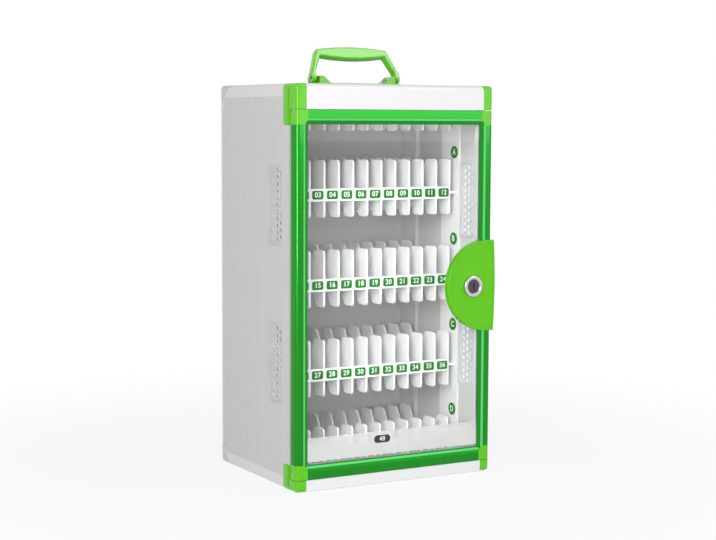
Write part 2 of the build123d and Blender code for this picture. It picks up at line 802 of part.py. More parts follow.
# ---- Inside: door jambs, upright posts and vent grilles ---------------------------------------
wall_face = half - panel_thickness
lip_back = case_front + jamb_thickness
with BuildPart() as jamb_lips:
    block((wall_face - jamb_reach, wall_face), (case_front, lip_back), (inner_low, inner_high))
    mirror(jamb_lips.part, about=Plane.YZ)
save(jamb_lips, "jamb_lips")

with BuildPart() as front_jambs:
    block((wall_face - jamb_thickness, wall_face), (lip_back, case_front + jamb_depth),
          (inner_low, inner_high))
    mirror(front_jambs.part, about=Plane.YZ)
save(front_jambs, "front_jambs")

post_face = wall_face - inner_post_thickness
with BuildPart() as right_post:
    block((post_face, wall_face), (front + inner_post_front, front + inner_post_back),
          (inner_low, inner_high))
with BuildPart() as left_post:
    mirror(right_post.part, about=Plane.YZ)
save(right_post, "right_inner_post")
save(left_post, "left_inner_post")

grille_face = wall_face - grille_proud
plate_front = half - grille_sunk
plate_back = plate_front - grille_plate
mouth_width = grille_mouth[1] - grille_mouth[0]
mouth_centre = front + (grille_mouth[0] + grille_mouth[1]) / 2
neck_rear = front + inner_post_front - grille_neck_play
grille_holes = []
for column in range(grille_columns):
    count = grille_rows - column % 2
    across = ((grille_columns - 1) / 2 - column) * grille_column_pitch
    grille_holes += [
        (across, (row - (count - 1) / 2) * grille_row_pitch) for row in range(count)
    ]


def vent_outline(larger):
    """Side view of a vent, larger all round by a distance."""
    return RectangleRounded(vent_width + 2 * larger, vent_length + 2 * larger, vent_radius + larger)


with BuildPart() as vent_grilles:
    for place, level in vent_places:
        with BuildSketch(plane_x(wall_face)):
            with Locations((place, level)):
                vent_outline(-grille_play)
        extrude(amount=panel_thickness)
        with BuildSketch(plane_x(half)):
            with Locations((place, level)):
                vent_outline(grille_collar)
        extrude(amount=grille_collar_height)
        with BuildSketch(plane_x(plate_front)):
            with Locations((place, level)):
                vent_outline(-grille_rim)
        extrude(amount=grille_sunk + grille_collar_height, mode=Mode.SUBTRACT)
        with BuildSketch(plane_x(grille_face)):
            with Locations((place, level)):
                vent_outline(-grille_play)
            with Locations((neck_rear - vent_width, level)):
                Rectangle(2 * vent_width, vent_length, mode=Mode.INTERSECT)
        extrude(amount=grille_proud)
        with BuildSketch(plane_x(grille_face)):
            with Locations((mouth_centre, level)):
                RectangleRounded(mouth_width, grille_mouth_length, grille_mouth_radius)
        extrude(amount=plate_back - grille_face, mode=Mode.SUBTRACT)
        with BuildSketch(plane_x(plate_back)):
            with Locations(*[(place + across, level + up) for across, up in grille_holes]):
                Circle(grille_hole_radius)
        extrude(amount=grille_plate, mode=Mode.SUBTRACT)
    mirror(vent_grilles.part, about=Plane.YZ)
save(vent_grilles, "vent_grilles")


# ---- Phone slots: boards, divider plates and number strips -------------------------------------
def divider_outline(level, standing, hanging):
    """Side view of one front divider, from its front edge and its board's centre."""
    if hanging:
        drop = comb_drop if standing else top_comb_drop
        lower = [(0, -drop, comb_radii[0]), (comb_tip_reach, -drop, comb_radii[1]),
                 (comb_waist_reach, -comb_waist, 0), (comb_reach, 0, 0)]
    else:
        foot = panel_thickness + lap_thickness - level
        lower = [(0, foot, 0), (comb_reach, foot, 0)]
    if standing:
        upper = [(comb_reach, comb_shoulder, comb_radii[2]), (comb_top_reach, comb_top, comb_radii[3]),
                 (0, comb_top, comb_radii[4])]
    else:
        upper = [(comb_reach, board_thickness / 2, 0), (0, board_thickness / 2, 0)]
    return rounded_outline(lower + upper)


board_half = post_face
notch_half = half - post_width - post_play
divider_planes = [plane_x(place - divider_thickness / 2) for place in divider_places]
for number, level in enumerate(levels, start=1):
    outline = divider_outline(level, standing=number > 1, hanging=number <= rows)
    with BuildPart() as dividers:
        with BuildSketch(*divider_planes):
            with Locations((comb_front, level)):
                add(outline)
            with Locations((comb_rear, level)):
                add(mirror(outline, about=Plane.YZ, mode=Mode.PRIVATE))
        extrude(amount=divider_thickness)
    save(dividers, f"dividers_{number}")

    with BuildPart() as board:
        with BuildSketch(plane_z(level - board_thickness / 2)):
            Polygon(
                (-board_half, comb_front),
                (board_half, comb_front),
                (board_half, rear - post_depth - post_play),
                (notch_half, rear - post_depth - post_play),
                (notch_half, rear - board_back),
                (-notch_half, rear - board_back),
                (-notch_half, rear - post_depth - post_play),
                (-board_half, rear - post_depth - post_play),
                align=None,
            )
            slot_width = divider_thickness + 2 * comb_slot_play
            slot_depth = comb_reach + comb_slot_play
            with Locations(*[(place, comb_front + slot_depth / 2) for place in divider_places]):
                Rectangle(slot_width, slot_depth, mode=Mode.SUBTRACT)
            with Locations(*[(place, comb_rear - comb_reach / 2) for place in divider_places]):
                Rectangle(slot_width, comb_reach + 2 * comb_slot_play, mode=Mode.SUBTRACT)
        extrude(amount=board_thickness)
    save(board, f"shelf_board_{number}")

for number, level in enumerate(levels[1:], start=1):
    with BuildPart() as strip:
        block((divider_places[0], divider_places[-1]), (front + strip_front, comb_front),
              (level - strip_height / 2, level + strip_height / 2))
    save(strip, f"number_strip_{number}")

# ---- Carrying handle: base with lugs, pins, screws and the folding bail --------------------------
base_top = height + base_thickness
lug_top = height + lug_height
right_side_of_base = [
    (base_half, height, 0),
    (base_half, base_top, 0),
    (lug_outer, base_top, 0),
    (lug_outer, lug_top, lug_radii[0]),
    (lug_top_inner, lug_top, lug_radii[1]),
    (lug_foot_inner, base_top, lug_radii[2]),
]
left_side_of_base = [(-x, z, radius) for x, z, radius in reversed(right_side_of_base)]
lean = radians(handle_lean)
stop_distance = leg_depth / 2 + foot_play
heel_rise = heel_height + height - handle_pivot
heel = [
    (stop_distance, base_top),
    (stop_distance * cos(lean), handle_pivot - stop_distance * sin(lean)),
    ((stop_distance + heel_rise * sin(lean)) / cos(lean), height + heel_height),
    (base_depth / 2, height + heel_height),
    (base_depth / 2, base_top),
]
pin_start = lug_outer - handle_pin_in_lug
leg_inner = leg_foot_half - leg_width
with BuildPart() as handle_base:
    with BuildSketch(plane_y(base_depth / 2)):
        add(rounded_outline(right_side_of_base + left_side_of_base))
    extrude(amount=base_depth)
    corners = handle_base.edges().filter_by(Axis.Z).filter_by(
        lambda edge: abs(edge.center().X) > base_half - nearby
    )
    fillet(corners, base_radius)
    for side in (-1, 1):
        with BuildSketch(plane_x(side * lug_outer)):
            Polygon(*heel, align=None)
        extrude(amount=side * (leg_foot_half - lug_outer))
        rod(plane_z(height), (side * base_screw_place, 0), base_screw_radius + plug_play,
            base_screw_grip, mode=Mode.SUBTRACT)
        rod(plane_x(min(side * pin_start, side * lug_outer)), (0, handle_pivot),
            handle_pin_radius + running_play, handle_pin_in_lug, mode=Mode.SUBTRACT)
save(handle_base, "handle_base")

with BuildPart() as handle_pins:
    for side in (-1, 1):
        pin_end = leg_inner + handle_pin_in_leg
        rod(plane_x(min(side * pin_start, side * pin_end)), (0, handle_pivot),
            handle_pin_radius, pin_end - pin_start)
save(handle_pins, "handle_pins")

screw_seat = height - panel_thickness
with BuildPart() as handle_screws:
    for side in (-1, 1):
        place = (side * base_screw_place, 0)
        rod(plane_z(screw_seat - base_screw_head_height), place, base_screw_head_radius,
            base_screw_head_height)
        rod(plane_z(screw_seat), place, base_screw_radius, panel_thickness + base_screw_grip - plug_play)
    chamfer(handle_screws.faces().filter_by(Axis.Z).group_by(Axis.Z)[0].edges(), screw_edge)
save(handle_screws, "handle_screws")

bail_front = Plane(origin=(0, 0, handle_pivot), x_dir=(1, 0, 0), z_dir=(0, -cos(lean), sin(lean)))
bail_side = Plane(origin=(-base_half, 0, handle_pivot), x_dir=(0, sin(lean), cos(lean)), z_dir=(1, 0, 0))
foot_end = leg_depth / 2
grip_low = handle_rise - grip_end / 2
grip_high = handle_rise + grip_end / 2
with BuildPart() as handle_bail:
    with BuildSketch(bail_front) as outline:
        with BuildLine():
            grip_top = ThreePointArc(
                (-grip_half, grip_high),
                (0, handle_rise + grip_mid / 2),
                (grip_half, grip_high),
            )
            right_leg = Polyline(
                grip_top @ 1,
                (leg_foot_half, foot_end),
                (leg_foot_half, -foot_end),
                (leg_inner, -foot_end),
                (leg_inner, foot_end),
                (grip_half - leg_top_width, grip_low),
            )
            grip_under = ThreePointArc(
                right_leg @ 1,
                (0, handle_rise - grip_mid / 2),
                (leg_top_width - grip_half, grip_low),
            )
            Polyline(
                grip_under @ 1,
                (-leg_inner, foot_end),
                (-leg_inner, -foot_end),
                (-leg_foot_half, -foot_end),
                (-leg_foot_half, foot_end),
                grip_top @ 0,
            )
        make_face()
        for side in (-1, 1):
            for across, along, radius in (
                (grip_half, grip_high, bail_outer_radius),
                (grip_half - leg_top_width, grip_low, bail_inner_radius),
            ):
                corner = outline.vertices().sort_by_distance((side * across, along, 0))[0]
                fillet(corner, radius)
    extrude(amount=leg_depth / 2, both=True)
    with BuildSketch(bail_side) as side_view:
        Circle(leg_depth / 2)
        with Locations((handle_rise, 0)):
            Rectangle(2 * handle_rise, leg_depth)
    extrude(amount=2 * base_half, mode=Mode.INTERSECT)
    grip_edges = handle_bail.edges().filter_by(
        lambda edge: abs(edge.center().X) < leg_foot_half - leg_width / 2
        and edge.length > leg_depth + overshoot
        and bail_side.to_local_coords(edge.center()).X > foot_end
    )
    fillet(grip_edges, bail_edge_radius)
    for side in (-1, 1):
        rod(plane_x(min(side * leg_inner, side * (leg_inner + handle_pin_in_leg + pin_end_play))),
            (0, handle_pivot), handle_pin_radius + running_play,
            handle_pin_in_leg + pin_end_play, mode=Mode.SUBTRACT)
save(handle_bail, "handle_bail")
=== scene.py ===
"""Looks of a cell phone locker box, as an add-on: finishes, number tags and a small studio.

Metres.  +X is to the right of someone facing the door, +Y runs to the back and +Z up.
"""
from math import cos, radians, sin

import bpy
from mathutils import Matrix, Vector


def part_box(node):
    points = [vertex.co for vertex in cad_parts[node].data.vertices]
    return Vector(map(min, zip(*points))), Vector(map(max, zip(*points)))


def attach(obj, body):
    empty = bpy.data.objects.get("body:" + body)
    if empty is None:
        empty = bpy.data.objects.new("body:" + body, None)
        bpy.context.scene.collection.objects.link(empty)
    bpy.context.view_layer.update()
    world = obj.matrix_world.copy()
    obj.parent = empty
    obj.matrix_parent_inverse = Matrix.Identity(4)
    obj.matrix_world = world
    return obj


bl_info = {
    "name": "Phone Locker Box",
    "version": (1, 0, 0),
    "blender": (4, 5, 0),
    "location": "View3D > Sidebar > Locker",
    "description": "Dresses a glazed phone locker box with finishes, number tags and studio light",
    "category": "Object",
}

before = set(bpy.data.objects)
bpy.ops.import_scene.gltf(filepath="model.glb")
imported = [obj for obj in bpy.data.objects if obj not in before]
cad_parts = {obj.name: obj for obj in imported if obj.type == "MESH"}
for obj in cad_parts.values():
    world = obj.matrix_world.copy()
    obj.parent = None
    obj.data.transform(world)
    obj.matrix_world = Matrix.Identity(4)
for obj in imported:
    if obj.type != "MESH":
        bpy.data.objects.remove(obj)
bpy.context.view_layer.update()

MM = 0.001
ROW_LETTERS = "ABCD"
SLOTS_PER_ROW = 12

PAINTED_HIGHLIGHT_INSET = 10.9 * MM         # from the door's edge to the painted highlight line on its frame's slope
LOW_PAINTED_HIGHLIGHT_INSET = 14.0 * MM     # the same on the bottom rail, where the slope faces up and its painted highlight lies further in
PAINTED_HIGHLIGHT_HALF_WIDTH = 1.3 * MM     # half the width of that painted highlight line
SHEET_TINT = (0.97, 0.985, 0.975)
LAMP_LIGHT_PASSED = (0.94, 0.95, 0.945)     # share of the lamps' light that the clear sheet passes
ORANGE_PEEL = 1.1 * MM          # from one dimple of the powder coat to the next
MOULD_GRAIN = 0.7 * MM          # the same for the texture of moulded plastic
NOISE_LOW, NOISE_HIGH = 0.3, 0.7    # nearly all of a noise pattern lies between these

FIGURE_DEPTH = 0.12 * MM        # thickness of figures and letters, half of it sunk into their tag
FIGURE_WEIGHT = 0.018           # how much each stroke is widened, as a share of the type size
FIGURE_SPACING = 1.05
SOFT_EDGE = 0.15 * MM           # rounding round the face of a tag or badge
FILM_CORNER = 0.3 * MM
NEARLY_HALF = 0.495             # corner radius of the count's oval, as a share of its height
BADGE_SIDES = 48
ROUNDED_ABOVE = radians(60)     # an edge that turns by more than this is rounded
SMOOTH_BELOW = radians(35)      # an edge that turns by less than this is shaded smooth
FACING_FRONT = (radians(90), 0.0, 0.0)              # turn of a written line, to face the front
FACING_LEFT = (radians(90), 0.0, radians(-90))      # and the left


def srgb(red, green, blue):
    """A colour given from 0 to 255, as the linear value that a colour socket takes."""
    def linear(value):
        share = value / 255
        return share / 12.92 if share <= 0.04045 else ((share + 0.055) / 1.055) ** 2.4
    return tuple(linear(value) for value in (red, green, blue))


def colour_setting(name, description, default):
    """A colour in the sidebar."""
    return bpy.props.FloatVectorProperty(
        name=name, description=description, default=default,
        size=3, min=0.0, max=1.0, subtype="COLOR",
    )


def length_setting(name, description, default):
    """A length in the sidebar, kept in metres."""
    return bpy.props.FloatProperty(
        name=name, description=description, default=default,
        min=0.0, subtype="DISTANCE", unit="LENGTH",
    )


def power_setting(name, description, default):
    """A lamp's power in the sidebar, in watts."""
    return bpy.props.FloatProperty(
        name=name, description=description, default=default,
        min=0.0, subtype="POWER", unit="POWER",
    )


def share_setting(name, description, default):
    """A share of a whole in the sidebar."""
    return bpy.props.FloatProperty(
        name=name, description=description, default=default,
        min=0.0, max=1.0, subtype="FACTOR",
    )


# ---- Settings -----------------------------------------------------------------------------------
class LockerFinishSettings(bpy.types.PropertyGroup):
    """Colours of the coats, plastics and metals."""
    panel: colour_setting("Panels", "Powder coat of the sides, top and base", srgb(210, 210, 209))
    back: colour_setting("Back", "Powder coat of the back panel", srgb(206, 206, 206))
    vent: colour_setting("Vents", "Moulded vent grilles", srgb(205, 205, 207))
    rail: colour_setting("Front rails", "Rails over and under the door", srgb(238, 236, 238))
    edge: colour_setting("Edges", "Satin finish of the edge profiles", srgb(222, 222, 221))
    jamb: colour_setting("Jambs", "Coat of the angles behind the door's edges", srgb(170, 170, 170))
    green: colour_setting("Door frame", "Gloss colour of the door's profiles", srgb(6, 143, 20))
    # colour of the painted highlight line on the door's frame, and also the tint of its metal's
    # reflections
    ridge: colour_setting("Ridge", "Bright line on the door's frame", srgb(96, 214, 116))
    lime: colour_setting("Corner caps", "Moulded corner caps and lock plate", srgb(98, 200, 10))
    handle: colour_setting("Handle", "Moulded carrying handle", srgb(106, 204, 24))
    rack: colour_setting("Rack", "Moulded boards and dividers", srgb(248, 248, 248))
    bead: colour_setting("Glazing beads", "Strips that hold the clear panel", srgb(200, 200, 202))
    cap: colour_setting("Rear caps", "Moulded rear corners", srgb(214, 213, 212))
    hinge_pin: colour_setting("Hinge pins", "Steel of the door's pins", srgb(176, 176, 174))
    barrel: colour_setting("Lock", "Chrome of the lock's barrel", srgb(205, 205, 208))
    # the plug is darker than the chrome: dark nickel, darkened further as painted shade of the
    # recess it sits in
    plug: colour_setting("Plug", "Dark nickel of the lock's plug", srgb(88, 80, 90))
    nut: colour_setting("Lock nut", "Brass of the lock's nut", srgb(200, 170, 96))
    cam: colour_setting("Cam", "Zinc of the lock's cam and its screw", srgb(180, 180, 178))
    # darker than bare steel: painted shade of the gaps between the handle's legs and lugs
    handle_pin: colour_setting("Handle pins", "Steel of the handle's pins", srgb(80, 82, 80))
    screw: colour_setting("Screws", "Zinc of the handle's screws", srgb(140, 142, 134))


class LockerTagSettings(bpy.types.PropertyGroup):
    """Sizes of a number tag, and colours of the tags and row badges."""
    width: length_setting("Width", "Width of a number tag", 15.0 * MM)
    height: length_setting("Height", "Height of a number tag", 10.4 * MM)
    thickness: length_setting("Thickness", "How far a tag stands off its strip", 0.5 * MM)
    corner: length_setting("Corner", "Radius of a tag's corners", 2.2 * MM)
    digit_size: length_setting("Digit size", "Type size of the numbers", 8.4 * MM)
    plate: colour_setting("Tag", "Colour of tags and row badges", srgb(0, 124, 18))
    digit: colour_setting("Digits", "Colour of the numbers and letters", srgb(240, 250, 240))


class LockerBadgeSettings(bpy.types.PropertyGroup):
    """Sizes and place of a row badge."""
    radius: length_setting("Radius", "Radius of a row badge", 7.8 * MM)
    thickness: length_setting("Thickness", "How far a badge stands off its post", 0.6 * MM)
    setback: length_setting("Setback", "Centre behind the front edge of the post", 10.5 * MM)
    rise: length_setting("Rise", "Centre over the number strip of its row", 49.4 * MM)
    letter_size: length_setting("Letter size", "Type size of the row letters", 10.0 * MM)


class LockerBandSettings(bpy.types.PropertyGroup):
    """Sizes and colours of the print on the clear panel."""
    height: length_setting("Height", "Top edge of the band over the opening's foot", 31.0 * MM)
    rise: length_setting("Rise", "Lower edge of the band over the opening's foot", 3.0 * MM)
    thickness: length_setting("Thickness", "Thickness of the print", 0.08 * MM)
    top_opacity: share_setting("Opacity at the top", "How much its top edge covers", 0.25)
    foot_opacity: share_setting("Opacity at the foot", "How much its lower edge covers", 0.6)
    white: colour_setting("White", "White ink of the band", srgb(250, 250, 250))
    count_along: length_setting("Count along", "Centre of the count from the stile", 99.6 * MM)
    count_rise: length_setting("Count rise", "Centre of the count over the foot", 21.6 * MM)
    count_width: length_setting("Count width", "Width of the count's oval", 22.0 * MM)
    count_height: length_setting("Count height", "Height of the count's oval", 9.0 * MM)
    count_size: length_setting("Count size", "Type size of the count", 7.6 * MM)
    ink: colour_setting("Ink", "Dark ink of the count's oval", srgb(60, 66, 66))
    figures: colour_setting("Figures", "White ink of the count", srgb(245, 245, 245))


class LockerStudioSettings(bpy.types.PropertyGroup):
    """Lamps, even light and floor."""
    key_power: power_setting("Key light", "Soft light in front, to the left", 25.0)
    fill_power: power_setting("Fill light", "Soft light in front, to the right", 3.0)
    strip_power: power_setting("Strip light", "Narrow light on the left, for the edges", 3.0)
    top_power: power_setting("Top light", "Soft light over the box and in front", 6.0)
    ambient: bpy.props.FloatProperty(
        name="Ambient", description="Strength of the even light from all round",
        default=0.33, min=0.0, max=2.0,
    )
    floor: colour_setting("Floor", "Colour of the floor", srgb(240, 240, 240))


# ---- Materials ----------------------------------------------------------------------------------
def work_out(tree, operation, *terms):
    """The result of a Math node whose terms are sockets or numbers."""
    node = tree.nodes.new("ShaderNodeMath")
    node.operation = operation
    for socket, term in zip(node.inputs, terms):
        if isinstance(term, bpy.types.NodeSocket):
            tree.links.new(term, socket)
        else:
            socket.default_value = term
    return node.outputs["Value"]


def spread(tree, value, reach, ends, interpolation="LINEAR"):
    """Turn a value that runs over its reach into one that runs from one end to the other."""
    node = tree.nodes.new("ShaderNodeMapRange")
    node.interpolation_type = interpolation
    node.inputs["From Min"].default_value, node.inputs["From Max"].default_value = reach
    node.inputs["To Min"].default_value, node.inputs["To Max"].default_value = ends
    tree.links.new(value, node.inputs["Value"])
    return node.outputs["Result"]


def split_place(tree, place):
    """The X, Y and Z of a place, as the outputs of one node."""
    node = tree.nodes.new("ShaderNodeSeparateXYZ")
    tree.links.new(place, node.inputs["Vector"])
    return node.outputs


def show_two(tree, share, first, second):
    """Show the second shader by a share, and the first by the rest."""
    mix = tree.nodes.new("ShaderNodeMixShader")
    tree.links.new(share, mix.inputs["Fac"])
    tree.links.new(first, mix.inputs[1])
    tree.links.new(second, mix.inputs[2])
    tree.links.new(mix.outputs["Shader"], tree.nodes["Material Output"].inputs["Surface"])


class Recipe:
    """One procedural material: a shader with patterns on the object's own coordinates."""

    def __init__(self, name, colour, roughness, metallic=0.0):
        self.material = bpy.data.materials.new(name)
        self.material.use_nodes = True
        self.tree = self.material.node_tree
        self.nodes = self.tree.nodes
        self.links = self.tree.links
        self.shader = self.nodes["Principled BSDF"]
        self.colour = colour
        self.set(Metallic=metallic, Roughness=roughness)
        self.shader.inputs["Base Color"].default_value = (*colour, 1.0)
        self.place = self.nodes.new("ShaderNodeTexCoord").outputs["Object"]
        self.height = None

    def set(self, **values):
        """Set sockets of the shader, written with _ for a space."""
        for name, value in values.items():
            self.shader.inputs[name.replace("_", " ")].default_value = value

    def noise(self, grain, stretch=(1.0, 1.0, 1.0), detail=2.0):
        """A pattern of lumps as long as its grain, drawn out along each axis by its stretch."""
        mapping = self.nodes.new("ShaderNodeMapping")
        mapping.inputs["Scale"].default_value = [1.0 / (grain * along) for along in stretch]
        self.links.new(self.place, mapping.inputs["Vector"])
        texture = self.nodes.new("ShaderNodeTexNoise")
        texture.inputs["Scale"].default_value = 1.0
        texture.inputs["Detail"].default_value = detail
        self.links.new(mapping.outputs["Vector"], texture.inputs["Vector"])
        return texture.outputs["Fac"]

    def mottle(self, value, depth):
        """Vary the colour by a pattern, from its full value down by the share depth."""
        mix = self.nodes.new("ShaderNodeMix")
        mix.data_type = "RGBA"
        mix.inputs["A"].default_value = (*[part * (1.0 - depth) for part in self.colour], 1.0)
        mix.inputs["B"].default_value = (*self.colour, 1.0)
        share = spread(self.tree, value, (NOISE_LOW, NOISE_HIGH), (0.0, 1.0))
        self.links.new(share, mix.inputs["Factor"])
        self.links.new(mix.outputs["Result"], self.shader.inputs["Base Color"])
        return self

    def roughen(self, value, low, high):
        """Vary the roughness by a pattern, from low to high."""
        roughness = spread(self.tree, value, (NOISE_LOW, NOISE_HIGH), (low, high))
        self.links.new(roughness, self.shader.inputs["Roughness"])
        return self

    def bump(self, value, depth):
        """Raise the surface by a pattern, as deep as that many metres."""
        bump = self.nodes.new("ShaderNodeBump")
        bump.inputs["Strength"].default_value = 1.0
        bump.inputs["Distance"].default_value = depth
        self.links.new(value, bump.inputs["Height"])
        if self.height:
            self.links.new(self.height, bump.inputs["Normal"])
        self.height = bump.outputs["Normal"]
        self.links.new(self.height, self.shader.inputs["Normal"])
        return self


def powder_coat(name, colour, roughness=0.5):
    """Thin powder coat: fine orange peel and faint cloudiness."""
    recipe = Recipe(name, colour, roughness)
    peel = recipe.noise(ORANGE_PEEL)
    cloud = recipe.noise(60 * MM, detail=3.0)
    recipe.mottle(cloud, 0.03).roughen(cloud, roughness - 0.05, roughness + 0.05)
    recipe.bump(peel, 0.02 * MM)
    return recipe.material


def ribbed_coat(name, colour, roughness):
    """Coat on ribbed sheet: upright lines of slightly uneven brightness."""
    recipe = Recipe(name, colour, roughness)
    lines = recipe.noise(1.6 * MM, stretch=(1.0, 1.0, 400.0), detail=3.0)
    peel = recipe.noise(ORANGE_PEEL)
    recipe.mottle(lines, 0.09).roughen(lines, roughness - 0.05, roughness + 0.08)
    recipe.bump(lines, 0.03 * MM).bump(peel, 0.01 * MM)
    return recipe.material


def drawn_out(along, length):
    """Stretch of a pattern that is drawn out along one axis: 0 for X, 1 for Y, 2 for Z."""
    return [length if axis == along else 1.0 for axis in range(3)]


def extruded_satin(name, colour, along, metallic=0.25):
    """Satin profile with faint drawing lines along its length."""
    recipe = Recipe(name, colour, 0.38, metallic)
    lines = recipe.noise(0.6 * MM, stretch=drawn_out(along, 200.0))
    recipe.mottle(lines, 0.03).roughen(lines, 0.32, 0.44).bump(lines, 0.01 * MM)
    return recipe.material


def anodised_profile(name, colour, highlight_colour, along, outline, highlight_inset):
    """Glossy coloured metal with faint lines along its length, and a painted highlight line on its
    slope.

    The painted highlight runs round the door, as far inside the outline of its frame as the given
    inset.
    """
    recipe = Recipe(name, colour, 0.2, metallic=1.0)
    recipe.set(Specular_Tint=(*highlight_colour, 1.0), Coat_Weight=0.5, Coat_Roughness=0.05)
    lines = recipe.noise(0.8 * MM, stretch=drawn_out(along, 150.0))
    recipe.mottle(lines, 0.08).bump(lines, 0.006 * MM)
    tree = recipe.tree
    (left, _, low), (right, _, high) = outline
    place = split_place(tree, recipe.place)
    inset = None
    for axis, sign, edge in (("X", 1, left), ("X", -1, right), ("Z", 1, low), ("Z", -1, high)):
        distance = work_out(tree, "MULTIPLY_ADD", place[axis], sign, -sign * edge)
        inset = distance if inset is None else work_out(tree, "MINIMUM", inset, distance)
    # painted highlight: a band of paler colour along the frame's slope, at a set distance inside
    # its outline
    on_painted_highlight = work_out(tree, "COMPARE", inset, highlight_inset, PAINTED_HIGHLIGHT_HALF_WIDTH)
    painted_highlight = tree.nodes.new("ShaderNodeMix")
    painted_highlight.data_type = "RGBA"
    painted_highlight.inputs["B"].default_value = (*highlight_colour, 1.0)
    base = recipe.shader.inputs["Base Color"]
    tree.links.new(on_painted_highlight, painted_highlight.inputs["Factor"])
    tree.links.new(base.links[0].from_socket, painted_highlight.inputs["A"])
    tree.links.new(painted_highlight.outputs["Result"], base)
    return recipe.material


def moulded(name, colour, roughness, depth=0.012 * MM, coat=0.0):
    """Moulded plastic: fine texture as deep as depth, and slightly uneven gloss."""
    recipe = Recipe(name, colour, roughness)
    recipe.set(Specular_IOR_Level=0.15, Coat_Weight=coat, Coat_Roughness=0.08)
    skin = recipe.noise(MOULD_GRAIN, detail=3.0)
    flow = recipe.noise(25 * MM)
    recipe.mottle(flow, 0.05).roughen(flow, roughness - 0.05, roughness + 0.06)
    recipe.bump(skin, depth)
    return recipe.material


def plated(name, colour, roughness):
    """Plated metal with fine marks of turning and handling."""
    recipe = Recipe(name, colour, roughness, metallic=1.0)
    marks = recipe.noise(0.3 * MM, stretch=(1.0, 30.0, 1.0))
    smear = recipe.noise(3 * MM, detail=3.0)
    recipe.mottle(smear, 0.08).roughen(smear, roughness * 0.7, roughness * 1.4)
    recipe.bump(marks, 0.004 * MM)
    return recipe.material


def clear_acrylic(name):
    """Clear sheet, which lets the lamps' light straight through to what lies behind it."""
    recipe = Recipe(name, SHEET_TINT, 0.02)
    recipe.set(Transmission_Weight=1.0, IOR=1.3)
    wave = recipe.noise(90 * MM)
    recipe.roughen(recipe.noise(12 * MM, detail=3.0), 0.0, 0.03).bump(wave, 0.01 * MM)
    to_lamp = recipe.nodes.new("ShaderNodeLightPath").outputs["Is Shadow Ray"]
    straight = recipe.nodes.new("ShaderNodeBsdfTransparent")
    straight.inputs["Color"].default_value = (*LAMP_LIGHT_PASSED, 1.0)
    show_two(recipe.tree, to_lamp, recipe.shader.outputs["BSDF"], straight.outputs["BSDF"])
    return recipe.material


def printed_film(name, colour, levels, opacities):
    """Print whose cover goes evenly from one opacity to another between two levels."""
    recipe = Recipe(name, colour, 0.35)
    speck = recipe.noise(0.5 * MM)
    recipe.mottle(speck, 0.02).bump(speck, 0.003 * MM)
    fade = spread(recipe.tree, split_place(recipe.tree, recipe.place)["Z"], levels, opacities)
    recipe.links.new(fade, recipe.shader.inputs["Alpha"])
    return recipe.material


def dress(material, *names):
    """Give CAD nodes a finish."""
    for name in names:
        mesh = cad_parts[name].data
        mesh.materials.clear()
        mesh.materials.append(material)


def sides(pattern):
    """The names of the left-hand and the right-hand node."""
    return [pattern.format(side) for side in ("left", "right")]


# ---- Modelling helpers --------------------------------------------------------------------------
def start_clean():
    """Leave nothing selected, so that an operator acts only on what is made next."""
    bpy.ops.object.select_all(action="DESELECT")


def select_only(*objects):
    """Select some objects and nothing else, the first one active."""
    start_clean()
    for item in objects:
        item.select_set(True)
    bpy.context.view_layer.objects.active = objects[0]


def settle(item):
    """Put an object's place, turn and scale into its mesh."""
    select_only(item)
    bpy.ops.object.transform_apply(location=True, rotation=True, scale=True)
    return item


def join(pieces, name):
    """Make several objects one."""
    select_only(*pieces)
    bpy.ops.object.join()
    joined = bpy.context.view_layer.objects.active
    joined.name = name
    joined.data.name = name
    return joined


def copy_to(item, shift):
    """A copy with its own mesh, moved by a vector."""
    select_only(item)
    bpy.ops.object.duplicate(linked=False)
    bpy.ops.transform.translate(value=shift)
    return settle(bpy.context.view_layer.objects.active)


def slab(size, centre, corner, corner_segments=4):
    """A plate that faces the front, with rounded corners."""
    start_clean()
    bpy.ops.mesh.primitive_cube_add(size=1.0, location=centre)
    plate = bpy.context.view_layer.objects.active
    plate.scale = size
    settle(plate)
    bpy.ops.object.mode_set(mode="EDIT")
    bpy.ops.mesh.select_mode(type="EDGE")
    bpy.ops.mesh.select_all(action="DESELECT")
    bpy.ops.object.mode_set(mode="OBJECT")
    for edge in plate.data.edges:
        a, b = (plate.data.vertices[i].co for i in edge.vertices)
        edge.select = abs(a.y - b.y) > size[1] / 2
    bpy.ops.object.mode_set(mode="EDIT")
    bpy.ops.mesh.bevel(offset=corner, segments=corner_segments, affect="EDGES")
    bpy.ops.object.mode_set(mode="OBJECT")
    return plate


def soften(plate):
    """Round the sharp edges of a plate a little."""
    bevel = plate.modifiers.new("soft_edge", "BEVEL")
    bevel.width = SOFT_EDGE
    bevel.segments = 2
    bevel.limit_method = "ANGLE"
    bevel.angle_limit = ROUNDED_ABOVE
    select_only(plate)
    bpy.ops.object.modifier_apply(modifier=bevel.name)
    bpy.ops.object.shade_smooth_by_angle(angle=SMOOTH_BELOW)
    return plate


def lettering(text, size, place, turn, depth=FIGURE_DEPTH):
    """Figures or a letter, centred on a place and turned to face the front or the left."""
    start_clean()
    bpy.ops.object.text_add(location=place, rotation=turn)
    words = bpy.context.view_layer.objects.active
    words.data.body = text
    words.data.size = size
    words.data.align_x = "CENTER"
    words.data.align_y = "CENTER"
    words.data.resolution_u = 3
    words.data.extrude = depth / 2
    words.data.offset = FIGURE_WEIGHT * size
    words.data.space_character = FIGURE_SPACING
    bpy.ops.object.convert(target="MESH")
    return settle(bpy.context.view_layer.objects.active)


def paint(item, material):
    """Give a new piece its one material."""
    item.data.materials.clear()
    item.data.materials.append(material)
    return item


